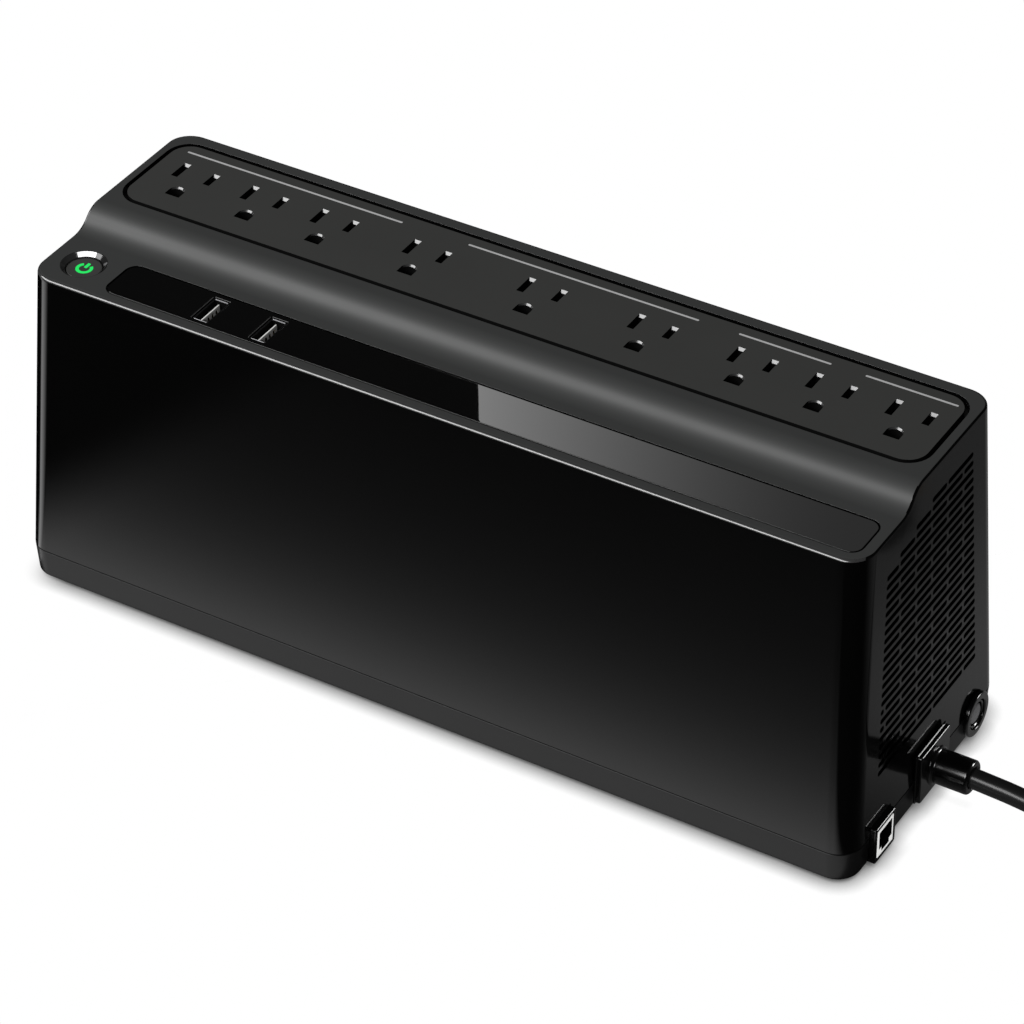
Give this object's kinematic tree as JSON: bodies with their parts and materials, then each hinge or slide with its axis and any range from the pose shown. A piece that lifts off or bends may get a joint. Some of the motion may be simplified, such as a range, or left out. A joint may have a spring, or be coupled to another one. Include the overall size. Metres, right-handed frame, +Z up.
{
  "type": "uninterruptible power supply",
  "caption": "Desk battery backup: long black box with a row of mains outlets on top, USB ports and power button on a lower shelf, vented ends and a mains cord.",
  "frame": {"origin": "on the base's underside, in the middle of the outlet row; the feet reach 1 mm lower", "axes": "+X along the long side towards the cord, +Y towards the back, +Z up"},
  "size_m": [0.4221, 0.2035, 0.1283],
  "materials": {
    "housing": "semi-gloss black moulded plastic, satin textured on top",
    "deck": "fine satin texture, dark grey",
    "gloss_strip": "polished black",
    "base": "satin dark grey",
    "rubber": "matt black",
    "green_light": "lit translucent green",
    "steel": "nickel plated",
    "brass": "stamped, plain",
    "copper": "varnished copper winding",
    "aluminium": "satin",
    "circuit_board": "solder resist green",
    "white_plastic": "plain",
    "grey_plastic": "plain",
    "blue_plastic": "plain",
    "red_plastic": "plain",
    "core_steel": "varnished laminations"
  },
  "bodies": {
    "chassis": {"base_tray": "base", "battery_case": "grey_plastic", "battery_lead_negative": "rubber", "battery_lead_positive": "red_plastic", "battery_terminal_negative": "steel", "battery_terminal_positive": "steel", "breaker_body": "grey_plastic", "breaker_collar": "base", "bulk_capacitor": "blue_plastic", "buzzer": "rubber", "case_screw_left_front": "steel", "case_screw_left_rear": "steel", "case_screw_right_front": "steel", "case_screw_right_rear": "steel", "control_board": "circuit_board", "data_jack_contacts": "brass", "data_jack_shield": "aluminium", "data_port_block": "base", "display_strip": "gloss_strip", "foot_left_front": "rubber", "foot_left_rear": "rubber", "foot_right_front": "rubber", "foot_right_rear": "rubber", "ground_bus": "brass", "heat_sink": "aluminium", "live_bus_battery": "brass", "live_bus_surge": "brass", "main_board": "circuit_board", "neutral_bus": "brass", "outlet_carrier": "grey_plastic", "outlet_deck": "deck", "output_relay": "white_plastic", "plug_blade_live": "brass", "plug_blade_neutral": "brass", "plug_body": "rubber", "plug_ground_pin": "brass", "power_cord": "rubber", "power_switch": "grey_plastic", "strain_relief": "rubber", "surge_varistor": "blue_plastic", "transfer_relay": "blue_plastic", "transformer_bracket": "steel", "transformer_coil": "copper", "transformer_core": "core_steel", "upper_housing": "housing", "usb_charger_board": "circuit_board", "usb_shell_left": "steel", "usb_shell_right": "steel", "usb_tongue_left": "white_plastic", "usb_tongue_right": "white_plastic"},
    "button": {"power_button": "deck", "button_light_guide": "green_light"},
    "breaker_plunger": {"breaker_button": "grey_plastic"},
    "door": {"battery_door": "base"}
  },
  "joints": [
    {"name": "power_button_press", "type": "slide", "parent": "chassis", "child": "button", "axis": [0, 0, -1], "range_m": [0, 0.0015], "stiffness_N_per_m": 400},
    {"name": "breaker_reset", "type": "slide", "parent": "chassis", "child": "breaker_plunger", "axis": [1, 0, 0], "range_m": [0, 0.003]},
    {"name": "battery_door_slide", "type": "slide", "parent": "chassis", "child": "door", "axis": [-1, 0, 0], "range_m": [0, 0.165]}
  ]
}
